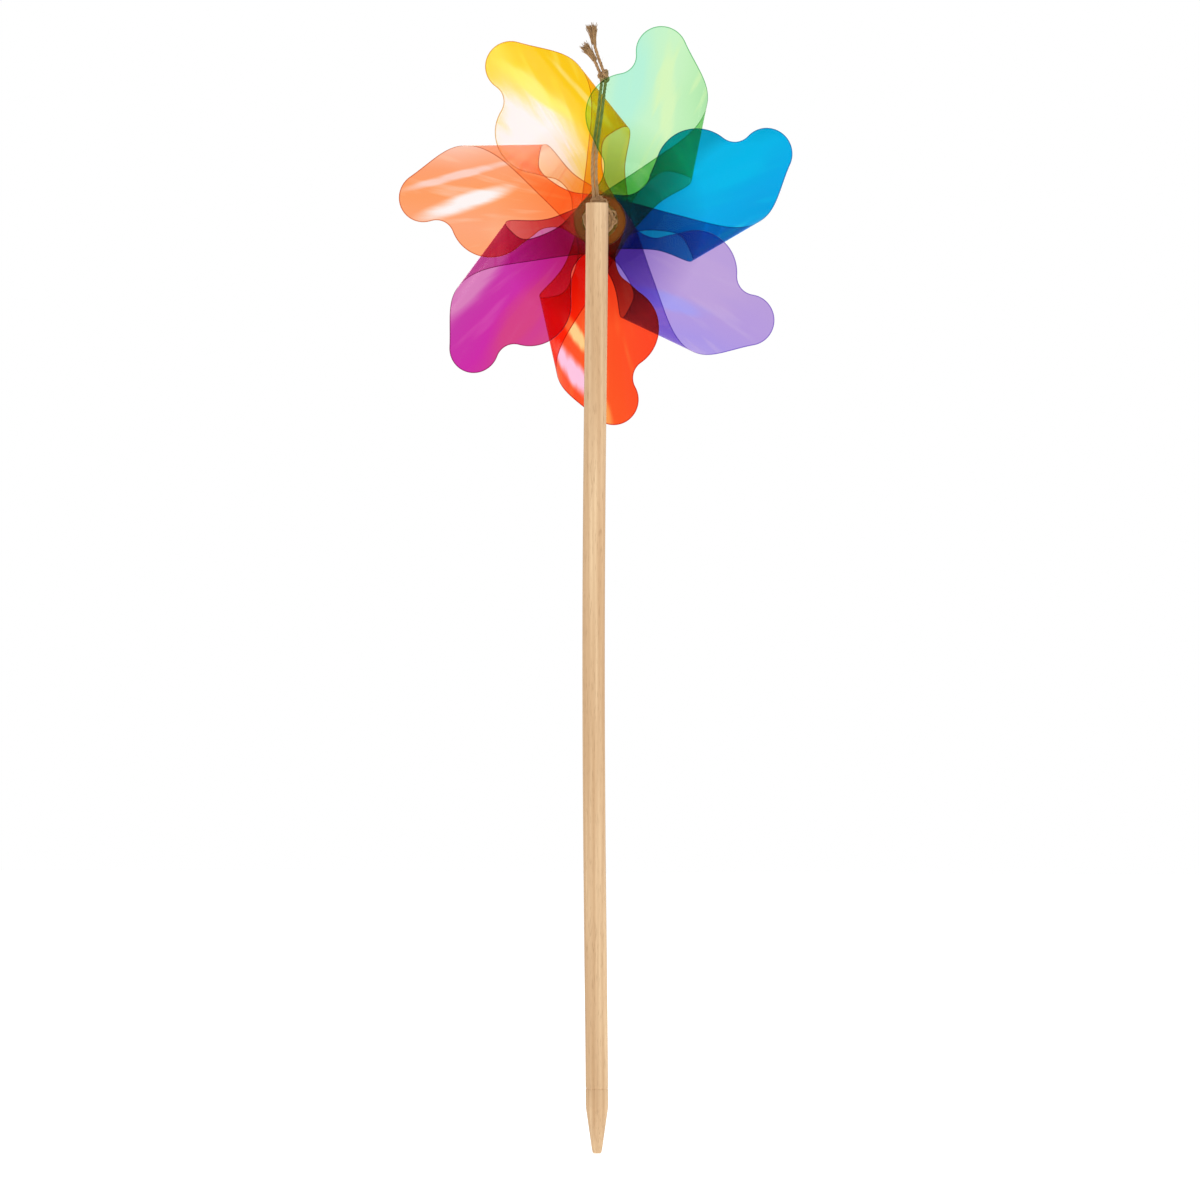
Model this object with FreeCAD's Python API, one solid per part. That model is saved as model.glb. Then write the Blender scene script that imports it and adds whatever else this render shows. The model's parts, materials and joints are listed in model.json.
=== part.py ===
"""Pinwheel on a garden stake: seven rolled film petals that spin on an axle near the top of a wooden stick.

Frame, in millimetres: +Z is up along the stick and +Y is the way the wheel faces. The origin is on the stick's
axis, at the shoulder where the plain round ends and the driving point begins.
"""
import FreeCAD, Part

import math
import os
from itertools import accumulate

from FreeCAD import Vector

Vector2d = FreeCAD.Base.Vector2d

# --- Stick --------------------------------------------------------------------------------------------------
STICK_RADIUS = 7.5
STICK_LENGTH = 633.5
POINT_LENGTH = 31.0
POINT_TIP_RADIUS = 3.0
TIP_ROUNDING = 0.8
TOP_CHAMFER = 0.5
SCORE_HEIGHT = 12.0
SCORE_WIDTH = 1.2
SCORE_DEPTH = 0.35

# --- Axle and what it carries ---------------------------------------------------------------------------------
AXLE_BELOW_TOP = 10.8
AXLE_RADIUS = 1.6
AXLE_IN_WOOD = 12.0
AXLE_POINT_LENGTH = 3.0
HEAD_RADIUS = 3.4
HEAD_HEIGHT = 2.2
SPACER_RADIUS = 4.5
SPACER_LENGTH = 2.0
KEEPER_RADIUS = 4.2
KEEPER_THICKNESS = 0.8
RUNNING_CLEARANCE = 0.06
END_PLAY = 0.35
SLIP_CLEARANCE = 0.04
EDGE_BREAK = 0.2

# --- Hub ------------------------------------------------------------------------------------------------------
TUBE_RADIUS = 4.0
BOSS_RADIUS = 6.0
BOSS_LENGTH = 7.2
WASHER_RADIUS = 12.0
WASHER_THICKNESS = 1.2
SLEEVE_RADIUS = 7.0
CAP_RADIUS = 13.0
CAP_WALL = 1.6
CAP_RIM_HEIGHT = 2.5
CAP_DOME_HEIGHT = 4.5
HEAD_ROOM = 0.8

# --- Petals ---------------------------------------------------------------------------------------------------
PETAL_NAMES = ("yellow", "green", "blue", "purple", "red", "magenta", "orange")
FIRST_PETAL_ANGLE = 129.9
# Each petal is clamped slightly turned from its even place round the hub, in degrees.
PETAL_LEANS = (-1.3, 0.0, 3.0, -1.0, -1.5, 0.5, -0.8)
FILM_THICKNESS = 0.2
STACK_GAP = 0.05
FLAT_REACH = 25.0
BEND_LENGTH = 75.0
BLADE_TILT = 10.0
TILT_START = 32.0
TILT_RUN = 16.0
TILT_FADE_START = 38.0
TILT_FADE_END = 74.0
TAB_RADIUS = 17.5
SHOULDER_RADIUS = 28.0
SHOULDER_ACROSS = 4.0
SHOULDER_OUT = 73.0
SHOULDER_START_ANGLE = 222.0
NOTCH_ANGLE = 111.0
NOTCH_RADIUS = 12.2
TIP_ANGLE = 16.7
TIP_RADIUS = 17.0
TIP_END_ANGLE = 35.0
REAR_TAB_START_ANGLE = -40.0
REAR_TAB_END_ANGLE = -211.0
FRONT_TAB_START_ANGLE = 40.0
FRONT_TAB_END_ANGLE = -147.0
NECK_EDGE = ((-9.6, 18.0), (-5.0, 25.5), (-4.2, 33.0), (-5.8, 39.8), (-9.8, 44.9))
FAR_EDGE_BOW = ((0.25, 2.0), (0.45, 4.6), (0.7, 2.6))
BAY_FRONT_EDGE = ((24.0, 6.5), (35.0, 22.5), (49.0, 32.8))
BAY_REAR_EDGE = ((47.0, 41.4), (36.2, 41.2), (25.6, 30.4), (19.3, 17.5), (17.8, 7.4))
SURFACE_STEP = 5.5

# --- Twine ----------------------------------------------------------------------------------------------------
TWINE_RADIUS = 1.1
WRAP_RADIUS = 10.6
WRAP_MARGIN = 0.4
KNOT_ACROSS = 4.4
KNOT_DEEP = 3.8
KNOT_HEIGHT = 6.4
RUN_SHARE = 0.45

# --- Worked out from the sizes above --------------------------------------------------------------------------
STICK_TOP = STICK_LENGTH - POINT_LENGTH
AXLE_HEIGHT = STICK_TOP - AXLE_BELOW_TOP
PITCH = FILM_THICKNESS + STACK_GAP
STACK_HEIGHT = (len(PETAL_NAMES) - 1) * PITCH + FILM_THICKNESS
SPACER_FRONT = STICK_RADIUS + SPACER_LENGTH
BOSS_REAR = SPACER_FRONT + END_PLAY
BOSS_FRONT = BOSS_REAR + BOSS_LENGTH
REAR_WASHER_FRONT = BOSS_FRONT + WASHER_THICKNESS
REAR_FILM = REAR_WASHER_FRONT + STACK_GAP + FILM_THICKNESS
TUBE_BORE = AXLE_RADIUS + RUNNING_CLEARANCE
TAB_HOLE = TUBE_RADIUS + SLIP_CLEARANCE


def smooth(x):
    """0 below 0, 1 above 1, with an even slope at both ends."""
    x = min(max(x, 0.0), 1.0)
    return x * x * (3 - 2 * x)


def bend_profile(steps=600):
    """Places (across, away) every step along the bend, which turns by half a turn, softly at both ends."""
    step = BEND_LENGTH / steps
    angles = [math.pi * smooth((i + 0.5) / steps) for i in range(steps)]
    across = accumulate((math.cos(a) * step for a in angles), initial=FLAT_REACH)
    away = accumulate((math.sin(a) * step for a in angles), initial=0.0)
    return list(zip(across, away))


PROFILE = bend_profile()
BEND_HEIGHT = PROFILE[-1][1]
FLAT_LENGTH = 2 * FLAT_REACH + BEND_LENGTH
FRONT_FILM = REAR_FILM + BEND_HEIGHT
FRONT_WASHER_REAR = FRONT_FILM + STACK_HEIGHT + STACK_GAP
FRONT_WASHER_FRONT = FRONT_WASHER_REAR + WASHER_THICKNESS
TUBE_FRONT = FRONT_WASHER_FRONT + CAP_RIM_HEIGHT
KEEPER_REAR = TUBE_FRONT + END_PLAY
HEAD_REAR = KEEPER_REAR + KEEPER_THICKNESS
HEAD_FRONT = HEAD_REAR + HEAD_HEIGHT


def fold(flat):
    """(across, away) of the film at a distance along its flat sheet, with 0 at the rear hole."""
    if flat <= FLAT_REACH:
        return flat, 0.0
    if flat >= FLAT_REACH + BEND_LENGTH:
        return FLAT_LENGTH - flat, BEND_HEIGHT
    place = (flat - FLAT_REACH) / BEND_LENGTH * (len(PROFILE) - 1)
    low = int(place)
    share = place - low
    (n0, y0), (n1, y1) = PROFILE[low], PROFILE[low + 1]
    return n0 + (n1 - n0) * share, y0 + (y1 - y0) * share


def film_point(flat, out, rear_place, front_place):
    """Inner skin of the film as (across, out, depth). The blade leans, so each petal passes over the next one."""
    across, away = fold(flat)
    reach = math.hypot(across, out)
    lean = math.tan(math.radians(BLADE_TILT)) * across * smooth((reach - TILT_START) / TILT_RUN)
    lean *= 1 - smooth((flat - TILT_FADE_START) / (TILT_FADE_END - TILT_FADE_START))
    lift = smooth((flat - FLAT_REACH) / BEND_LENGTH)
    stack = PITCH * (rear_place * (1 - lift) + front_place * lift)
    return Vector(across, out, REAR_FILM + away + lean + stack)


def clamped_knots(low, high, count, degree=3):
    spans = count - degree
    knots = [low + (high - low) * i / spans for i in range(spans + 1)]
    mults = [degree + 1] + [1] * (spans - 1) + [degree + 1]
    full = [k for k, m in zip(knots, mults) for _ in range(m)]
    places = [sum(full[i + 1:i + degree + 1]) / degree for i in range(count)]
    return knots, mults, places


def film_surface(places, angle):
    """Inner skin of a petal as a smooth surface whose parameters are the flat sheet's own millimetres."""
    low_out, high_out = -TAB_RADIUS - 5, SHOULDER_OUT + 70
    low_flat, high_flat = -SHOULDER_RADIUS - 5, FLAT_LENGTH + TAB_RADIUS + 5
    u_knots, u_mults, u_places = clamped_knots(low_flat, high_flat, int((high_flat - low_flat) / SURFACE_STEP))
    v_knots, v_mults, v_places = clamped_knots(low_out, high_out, int((high_out - low_out) / SURFACE_STEP))
    turn = math.radians(angle)
    outward = Vector(math.cos(turn), 0, math.sin(turn))
    crosswise = Vector(math.sin(turn), 0, -math.cos(turn))
    centre = Vector(0, 0, AXLE_HEIGHT)
    poles = []
    for flat in u_places:
        row = []
        for out in v_places:
            p = film_point(flat, out, *places)
            row.append(centre + crosswise * p.x + outward * p.y + Vector(0, p.z, 0))
        poles.append(row)
    surface = Part.BSplineSurface()
    surface.buildFromPolesMultsKnots(poles, u_mults, v_mults, u_knots, v_knots, False, False, 3, 3)
    return surface


def on_circle(centre, radius, degrees):
    a = math.radians(degrees)
    return Vector2d(centre.x + radius * math.cos(a), centre.y + radius * math.sin(a))


def heading(degrees):
    """Way that an arc runs clockwise at this angle."""
    a = math.radians(degrees)
    return Vector2d(math.sin(a), -math.cos(a))


def arc_2d(centre, radius, start, end):
    """Arc from one angle to another: clockwise when the end is the smaller."""
    circle = Part.Geom2d.Circle2d(centre, radius)
    low, high = sorted((math.radians(start), math.radians(end)))
    arc = Part.Geom2d.ArcOfCircle2d(circle, low, high)
    if end < start:
        arc.reverse()
    return arc


def spline_2d(points, first_way, last_way):
    curve = Part.Geom2d.BSplineCurve2d()
    curve.interpolate(Points=points, InitialTangent=first_way, FinalTangent=last_way)
    return curve


def petal_outline():
    """Edge of the flat petal: rear tab, neck, shoulder, notch, tip, far edge, front tab and the bay between."""
    rear = Vector2d(0, 0)
    front = Vector2d(FLAT_LENGTH, 0)
    shoulder = Vector2d(SHOULDER_ACROSS, SHOULDER_OUT)
    notch = on_circle(shoulder, SHOULDER_RADIUS + NOTCH_RADIUS, NOTCH_ANGLE)
    tip = on_circle(notch, NOTCH_RADIUS + TIP_RADIUS, TIP_ANGLE)
    neck_points = [on_circle(rear, TAB_RADIUS, REAR_TAB_END_ANGLE)]
    neck_points += [Vector2d(*p) for p in NECK_EDGE]
    neck_points += [on_circle(shoulder, SHOULDER_RADIUS, SHOULDER_START_ANGLE)]
    tip_end = on_circle(tip, TIP_RADIUS, TIP_END_ANGLE)
    tab_start = on_circle(front, TAB_RADIUS, FRONT_TAB_START_ANGLE)
    far_points = [tip_end]
    for share, bow in FAR_EDGE_BOW:
        x = tip_end.x + (tab_start.x - tip_end.x) * share
        y = tip_end.y + (tab_start.y - tip_end.y) * share - bow
        far_points.append(Vector2d(x, y))
    far_points.append(tab_start)
    bay_points = [on_circle(front, TAB_RADIUS, FRONT_TAB_END_ANGLE)]
    bay_points += [Vector2d(FLAT_LENGTH - back, out) for back, out in BAY_FRONT_EDGE]
    bay_points += [Vector2d(*p) for p in BAY_REAR_EDGE]
    bay_points += [on_circle(rear, TAB_RADIUS, REAR_TAB_START_ANGLE)]
    return [
        arc_2d(rear, TAB_RADIUS, REAR_TAB_START_ANGLE, REAR_TAB_END_ANGLE),
        spline_2d(neck_points, heading(REAR_TAB_END_ANGLE), heading(SHOULDER_START_ANGLE)),
        arc_2d(shoulder, SHOULDER_RADIUS, SHOULDER_START_ANGLE, NOTCH_ANGLE),
        arc_2d(notch, NOTCH_RADIUS, NOTCH_ANGLE - 180, TIP_ANGLE),
        arc_2d(tip, TIP_RADIUS, TIP_ANGLE + 180, TIP_END_ANGLE),
        spline_2d(far_points, heading(TIP_END_ANGLE), heading(FRONT_TAB_START_ANGLE)),
        arc_2d(front, TAB_RADIUS, FRONT_TAB_START_ANGLE, FRONT_TAB_END_ANGLE),
        spline_2d(bay_points, heading(FRONT_TAB_END_ANGLE), heading(REAR_TAB_START_ANGLE)),
    ]


def petal(number):
    """One film petal: its inner skin cut to the outline and thickened outwards, with a round hole in each tab."""
    count = len(PETAL_NAMES)
    places = ((count - number) % count, (number - 1) % count)
    skin = film_surface(places, FIRST_PETAL_ANGLE - 360.0 / count * number + PETAL_LEANS[number])
    edges = [curve.toShape(skin) for curve in petal_outline()]
    film = Part.Face(skin, Part.Wire(edges)).makeOffsetShape(FILM_THICKNESS, 0.001, fill=True)
    hole = Part.makeCylinder(TAB_HOLE, 2 * FRONT_FILM, Vector(0, 0, AXLE_HEIGHT), Vector(0, 1, 0))
    return film.cut(hole).Solids[0]


def lathe(profile, upright=False):
    """Turned solid from an (along, radius) outline: about the wheel's axle, or about the stick if upright."""
    points = [Vector(radius, 0, along) for along, radius in profile]
    face = Part.Face(Part.makePolygon(points + points[:1]))
    solid = face.revolve(Vector(0, 0, 0), Vector(0, 0, 1), 360)
    if not upright:
        solid.rotate(Vector(0, 0, 0), Vector(1, 0, 0), -90)
        solid.translate(Vector(0, 0, AXLE_HEIGHT))
    return solid


def stick():
    """Turned dowel with a blunt point, a score ring above it and a blind hole for the axle."""
    bottom, half = -POINT_LENGTH, SCORE_WIDTH / 2
    profile = [
        (bottom, 0),
        (bottom, POINT_TIP_RADIUS - TIP_ROUNDING),
        (bottom + TIP_ROUNDING, POINT_TIP_RADIUS),
        (0, STICK_RADIUS),
        (SCORE_HEIGHT - half, STICK_RADIUS),
        (SCORE_HEIGHT, STICK_RADIUS - SCORE_DEPTH),
        (SCORE_HEIGHT + half, STICK_RADIUS),
        (STICK_TOP - TOP_CHAMFER, STICK_RADIUS),
        (STICK_TOP, STICK_RADIUS - TOP_CHAMFER),
        (STICK_TOP, 0),
    ]
    hole = axle_shank(STICK_RADIUS + 1)
    return lathe(profile, upright=True).cut(hole)


def axle_shank(front):
    """The part of the axle behind this depth, with its pointed end in the wood."""
    end = STICK_RADIUS - AXLE_IN_WOOD
    return lathe([(end, 0), (end + AXLE_POINT_LENGTH, AXLE_RADIUS), (front, AXLE_RADIUS), (front, 0)])


def axle():
    """Round-headed nail: its shank is driven into the stick and its head keeps the wheel on."""
    crown = HEAD_RADIUS * 0.62
    head = lathe([
        (HEAD_REAR, 0),
        (HEAD_REAR, HEAD_RADIUS),
        (HEAD_REAR + HEAD_HEIGHT * 0.4, HEAD_RADIUS),
        (HEAD_REAR + HEAD_HEIGHT * 0.85, crown),
        (HEAD_FRONT, crown * 0.5),
        (HEAD_FRONT, 0),
    ])
    return axle_shank(HEAD_REAR).fuse(head).removeSplitter()


def ring(rear, front, outer, inner, chamfer):
    """Plain washer or bush on the axle, with its outer corners broken."""
    return lathe([
        (rear, inner),
        (rear, outer - chamfer),
        (rear + chamfer, outer),
        (front - chamfer, outer),
        (front, outer - chamfer),
        (front, inner),
    ])


def hub_tube():
    """Bush that the wheel runs on: a stout boss behind the petals and a slim tube through them."""
    return lathe([
        (BOSS_REAR, TUBE_BORE),
        (BOSS_REAR, BOSS_RADIUS),
        (BOSS_FRONT, BOSS_RADIUS),
        (BOSS_FRONT, TUBE_RADIUS),
        (TUBE_FRONT, TUBE_RADIUS),
        (TUBE_FRONT, TUBE_BORE),
    ])


def front_cap():
    """Domed button pushed on the tube's end, hollow over the nail's head."""
    cavity = HEAD_FRONT + HEAD_ROOM
    shoulder = TUBE_FRONT - HEAD_ROOM
    room = HEAD_RADIUS + 2 * HEAD_ROOM
    crown = cavity + CAP_WALL
    return lathe([
        (FRONT_WASHER_FRONT, TAB_HOLE),
        (FRONT_WASHER_FRONT, CAP_RADIUS - 0.6),
        (FRONT_WASHER_FRONT + 0.6, CAP_RADIUS),
        (FRONT_WASHER_FRONT + CAP_RIM_HEIGHT, CAP_RADIUS),
        (crown - CAP_DOME_HEIGHT * 0.35, CAP_RADIUS * 0.86),
        (crown - CAP_DOME_HEIGHT * 0.1, CAP_RADIUS * 0.62),
        (crown, CAP_RADIUS * 0.3),
        (crown, 0),
        (cavity, 0),
        (cavity, room),
        (shoulder, room),
        (shoulder, TAB_HOLE),
    ])


def twine_wrap():
    """Turns of twine round the boss, as one ring with a rounded outside."""
    rear, front = BOSS_REAR + WRAP_MARGIN, BOSS_FRONT - WRAP_MARGIN
    bulge = 1.6
    inner = BOSS_RADIUS + SLIP_CLEARANCE
    return lathe([
        (rear, inner),
        (rear, WRAP_RADIUS - bulge),
        (rear + bulge, WRAP_RADIUS),
        (front - bulge, WRAP_RADIUS),
        (front, WRAP_RADIUS - bulge),
        (front, inner),
    ])


# Routes of the two strands, from the wrap up between two petals, through the knot and out as a loose tail.
# Each point is (across, depth, height over the axle). The upper depths go with the film they lie between.
TWINE_DEPTH = BOSS_REAR + BOSS_LENGTH / 2
LEFT_ROUTE = (
    (-3.2, TWINE_DEPTH, 9.6),
    (-3.9, TWINE_DEPTH + 0.4, 20.0),
    (-4.9, TWINE_DEPTH + 2.5, 33.0),
    (-5.0, REAR_FILM + 1.9, 45.0),
    (-3.6, REAR_FILM + 3.7, 58.0),
    (-1.5, REAR_FILM + 4.0, 72.0),
    (-0.4, REAR_FILM + 3.9, 84.0),
    (1.2, REAR_FILM + 3.7, 95.5),
    (-2.2, REAR_FILM + 3.3, 103.5),
    (-5.2, REAR_FILM + 2.8, 110.0),
    (-10.4, REAR_FILM + 2.0, 117.0),
)
RIGHT_ROUTE = (
    (-0.8, TWINE_DEPTH, 9.9),
    (-1.5, TWINE_DEPTH + 0.3, 20.0),
    (-2.5, TWINE_DEPTH + 2.5, 33.0),
    (-2.7, REAR_FILM + 2.0, 45.0),
    (-1.1, REAR_FILM + 3.8, 58.0),
    (0.9, REAR_FILM + 4.1, 72.0),
    (2.2, REAR_FILM + 4.0, 84.0),
    (3.8, REAR_FILM + 3.7, 95.5),
    (0.4, REAR_FILM + 3.2, 104.5),
    (-2.7, REAR_FILM + 2.6, 113.0),
    (-4.6, REAR_FILM + 1.8, 121.5),
    (-5.6, REAR_FILM + 1.0, 130.0),
)
KNOT_CENTRE = (2.4, REAR_FILM + 3.7, 96.8)


def twine_tube(name, route):
    """Straight runs joined by the largest tangent arcs that their lengths allow, swept with a round section."""
    points = [Vector(x, y, AXLE_HEIGHT + z) for x, y, z in route]
    edges = []
    start = points[0]
    radii = []
    for before, corner, after in zip(points, points[1:], points[2:]):
        back = before - corner
        on = after - corner
        cut = RUN_SHARE * min(back.Length, on.Length)
        turn = math.pi - back.getAngle(on)
        radii.append(cut / math.tan(turn / 2))
        enter = corner + Vector(back).normalize() * cut
        leave = corner + Vector(on).normalize() * cut
        bisector = (Vector(back).normalize() + Vector(on).normalize()).normalize()
        centre = corner + bisector * math.hypot(radii[-1], cut)
        middle = centre - bisector * radii[-1]
        edges.append(Part.LineSegment(start, enter).toShape())
        edges.append(Part.Arc(enter, middle, leave).toShape())
        start = leave
    edges.append(Part.LineSegment(start, points[-1]).toShape())
    path = Part.Wire(edges)
    section = Part.Wire([Part.makeCircle(TWINE_RADIUS, points[0], points[1] - points[0])])
    tube = path.makePipeShell([section], True, False)
    share = tube.Volume / (math.pi * TWINE_RADIUS ** 2 * path.Length)
    print(f"{name}: length {path.Length:.1f}, radii {min(radii):.1f} to {max(radii):.1f}, volume share {share:.4f}")
    return tube


def twine_knot():
    """Overhand knot as a plain egg."""
    across, depth, height = KNOT_CENTRE
    ball = Part.makeSphere(1.0)
    matrix = FreeCAD.Matrix()
    matrix.scale(Vector(KNOT_ACROSS, KNOT_DEEP, KNOT_HEIGHT))
    knot = ball.transformGeometry(matrix)
    knot.translate(Vector(across, depth, AXLE_HEIGHT + height))
    return knot


def make_nodes():
    nodes = {
        "stick": stick(),
        "axle_nail": axle(),
        "spacer_bead": ring(STICK_RADIUS, SPACER_FRONT, SPACER_RADIUS, AXLE_RADIUS, EDGE_BREAK),
        "keeper_washer": ring(KEEPER_REAR, HEAD_REAR, KEEPER_RADIUS, AXLE_RADIUS, EDGE_BREAK),
        "hub_tube": hub_tube(),
        "rear_washer": ring(BOSS_FRONT, REAR_WASHER_FRONT, WASHER_RADIUS, TAB_HOLE, EDGE_BREAK),
        "core_sleeve": ring(
            REAR_FILM - FILM_THICKNESS + STACK_HEIGHT + STACK_GAP,
            FRONT_FILM - STACK_GAP,
            SLEEVE_RADIUS,
            TAB_HOLE,
            EDGE_BREAK,
        ),
        "front_washer": ring(FRONT_WASHER_REAR, FRONT_WASHER_FRONT, WASHER_RADIUS, TAB_HOLE, EDGE_BREAK),
        "front_cap": front_cap(),
        "twine_wrap": twine_wrap(),
        "twine_left": twine_tube("twine_left", LEFT_ROUTE),
        "twine_right": twine_tube("twine_right", RIGHT_ROUTE),
        "twine_knot": twine_knot(),
    }
    for number, name in enumerate(PETAL_NAMES):
        nodes["petal_" + name] = petal(number)
    return nodes


os.makedirs("parts", exist_ok=True)
for name, shape in make_nodes().items():
    if not shape.isValid() or shape.Volume <= 0:
        raise ValueError(f"{name} is not a sound solid")
    shape.exportStep(f"parts/{name}.step")
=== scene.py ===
"""Looks of a garden pinwheel: seven rolled clear film petals on a beech stake, with jute round the hub.

Lengths are metres in the model's frame, with +Z up the stake and +Y the way the wheel faces. The flat petal
and the twine's route are in millimetres, as they are cut, and MM turns them to metres.
"""

import json
import math
import random
import bpy
import numpy as np
from mathutils import Matrix, Vector, geometry, noise


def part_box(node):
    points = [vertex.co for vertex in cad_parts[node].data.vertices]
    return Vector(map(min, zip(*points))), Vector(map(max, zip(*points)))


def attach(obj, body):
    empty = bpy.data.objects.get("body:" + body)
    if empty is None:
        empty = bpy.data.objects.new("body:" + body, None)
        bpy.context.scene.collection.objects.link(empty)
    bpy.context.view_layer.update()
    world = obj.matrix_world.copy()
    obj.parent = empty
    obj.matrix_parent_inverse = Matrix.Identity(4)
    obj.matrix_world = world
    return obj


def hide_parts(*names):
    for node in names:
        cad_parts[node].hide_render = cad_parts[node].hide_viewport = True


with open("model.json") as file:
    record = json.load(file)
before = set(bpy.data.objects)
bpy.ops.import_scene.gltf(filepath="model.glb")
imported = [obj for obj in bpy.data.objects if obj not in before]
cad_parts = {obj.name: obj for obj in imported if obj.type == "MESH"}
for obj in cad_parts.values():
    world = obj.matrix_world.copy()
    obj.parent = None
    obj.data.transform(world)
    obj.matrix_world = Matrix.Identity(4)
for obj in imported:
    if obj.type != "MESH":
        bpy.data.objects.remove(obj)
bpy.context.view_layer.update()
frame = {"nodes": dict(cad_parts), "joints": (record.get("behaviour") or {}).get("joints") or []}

MM = 0.001
STAKE_BODY = "stick_body"
WHEEL = "wheel_body"
AXLE_HEIGHT = frame["joints"][0]["pos_m"][2]
AXLE = Vector((0, 0, AXLE_HEIGHT))
STICK_LOW, STICK_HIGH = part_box("stick")
WRAP_LOW, WRAP_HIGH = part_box("twine_wrap")
REAR_WASHER_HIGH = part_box("rear_washer")[1]

# Film petals: the flat sheet's own millimetres, "flat" along the roll and "out" from the axle.
PETAL_NAMES = ("yellow", "green", "blue", "purple", "red", "magenta", "orange")
FIRST_PETAL_ANGLE = 129.9
# Each petal is clamped slightly turned from its even place round the hub, in degrees.
PETAL_LEANS = (-1.3, 0.0, 3.0, -1.0, -1.5, 0.5, -0.8)
FILM_THICKNESS = 0.2
STACK_GAP = 0.05
STACK_PITCH = FILM_THICKNESS + STACK_GAP
FLAT_REACH = 25.0
BEND_LENGTH = 75.0
FLAT_LENGTH = 2 * FLAT_REACH + BEND_LENGTH
REAR_FILM = REAR_WASHER_HIGH.y / MM + STACK_PITCH
BLADE_TILT = 10.0
TILT_START = 32.0
TILT_RUN = 16.0
TILT_FADE_START = 38.0
TILT_FADE_END = 74.0
TAB_RADIUS = 17.5
TAB_HOLE_RADIUS = 4.04
SHOULDER = Vector((4.0, 73.0))
SHOULDER_RADIUS = 28.0
SHOULDER_START_ANGLE = 222.0
NOTCH_ANGLE = 111.0
NOTCH_RADIUS = 12.2
TIP_ANGLE = 16.7
TIP_RADIUS = 17.0
TIP_END_ANGLE = 35.0
REAR_TAB_START_ANGLE = -40.0
REAR_TAB_END_ANGLE = -211.0
FRONT_TAB_START_ANGLE = 40.0
FRONT_TAB_END_ANGLE = -147.0
NECK_EDGE = ((-9.6, 18.0), (-5.0, 25.5), (-4.2, 33.0), (-5.8, 39.8), (-9.8, 44.9))
FAR_EDGE_BOW = ((0.25, 2.0), (0.45, 4.6), (0.7, 2.6))
BAY_FRONT_EDGE = ((24.0, 6.5), (35.0, 22.5), (49.0, 32.8))
BAY_REAR_EDGE = ((47.0, 41.4), (36.2, 41.2), (25.6, 30.4), (19.3, 17.5), (17.8, 7.4))
EDGE_STEP = 1.2
SHEET_STEP = 2.3
CUT_RIM_WIDTH = 0.9
SHEET_UNIT = 100
TINT_REACH = (72, 30)
TAB_BODY_REACH = (26, 14)

# Jute twine: the route's points are (across, depth, height over the axle) in millimetres.
TWINE_RADIUS = 1.1
TWINE_DEPTH = (WRAP_LOW.y + WRAP_HIGH.y) / 2 / MM
LEFT_ROUTE = (
    (-3.2, TWINE_DEPTH, 9.6),
    (-3.9, TWINE_DEPTH + 0.4, 20.0),
    (-4.9, TWINE_DEPTH + 2.5, 33.0),
    (-5.0, REAR_FILM + 1.9, 45.0),
    (-3.6, REAR_FILM + 3.7, 58.0),
    (-1.5, REAR_FILM + 4.0, 72.0),
    (-0.4, REAR_FILM + 3.9, 84.0),
    (1.2, REAR_FILM + 3.7, 95.5),
    (-2.2, REAR_FILM + 3.3, 103.5),
    (-5.2, REAR_FILM + 2.8, 110.0),
    (-10.4, REAR_FILM + 2.0, 117.0),
)
RIGHT_ROUTE = (
    (-0.8, TWINE_DEPTH, 9.9),
    (-1.5, TWINE_DEPTH + 0.3, 20.0),
    (-2.5, TWINE_DEPTH + 2.5, 33.0),
    (-2.7, REAR_FILM + 2.0, 45.0),
    (-1.1, REAR_FILM + 3.8, 58.0),
    (0.9, REAR_FILM + 4.1, 72.0),
    (2.2, REAR_FILM + 4.0, 84.0),
    (3.8, REAR_FILM + 3.7, 95.5),
    (0.4, REAR_FILM + 3.2, 104.5),
    (-2.7, REAR_FILM + 2.6, 113.0),
    (-4.6, REAR_FILM + 1.8, 121.5),
    (-5.6, REAR_FILM + 1.0, 130.0),
)
KNOT_CENTRE = Vector((2.4, REAR_FILM + 3.7, 96.8))
PLY_PITCH = 7.5

# Slack loops on the wrap: (angle round the axle in radians, tallest in millimetres).
LOOSE_LOOPS = 36
LOOP_PLACES = ((-0.1, 3.6), (0.4, 4.0), (1.3, 7.0), (1.57, 8.0), (1.8, 7.5), (2.9, 3.0))
LOOP_DEPTH_LIMIT = 13.0

# Stake, in millimetres.
STAKE_BOW = 2.3
POINT_TIP_RADIUS = 3.05
SCORE_HEIGHT = 12
SCORE_DEPTH = 0.35

VIEW_SPAN = 0.8
VIEW_HEIGHT = 0.3377
VIEW_ACROSS = 0.002
VIEW_TURN = -6.0
LENS = 220.0


# ---- materials ----

def linear(hex_colour):
    """sRGB hex to a linear colour with full alpha."""
    parts = [int(hex_colour[i:i + 2], 16) / 255 for i in (0, 2, 4)]
    return (*[p / 12.92 if p <= 0.04045 else ((p + 0.055) / 1.055) ** 2.4 for p in parts], 1.0)


def one_skin(hex_colour):
    """What one skin of the film lets through: the sheet's two skins together give its colour."""
    return (*[math.sqrt(c) for c in linear(hex_colour)[:3]], 1.0)


def new_tree(name):
    made = bpy.data.materials.new(name)
    made.use_nodes = True
    made.node_tree.nodes.clear()
    return made, made.node_tree


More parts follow.
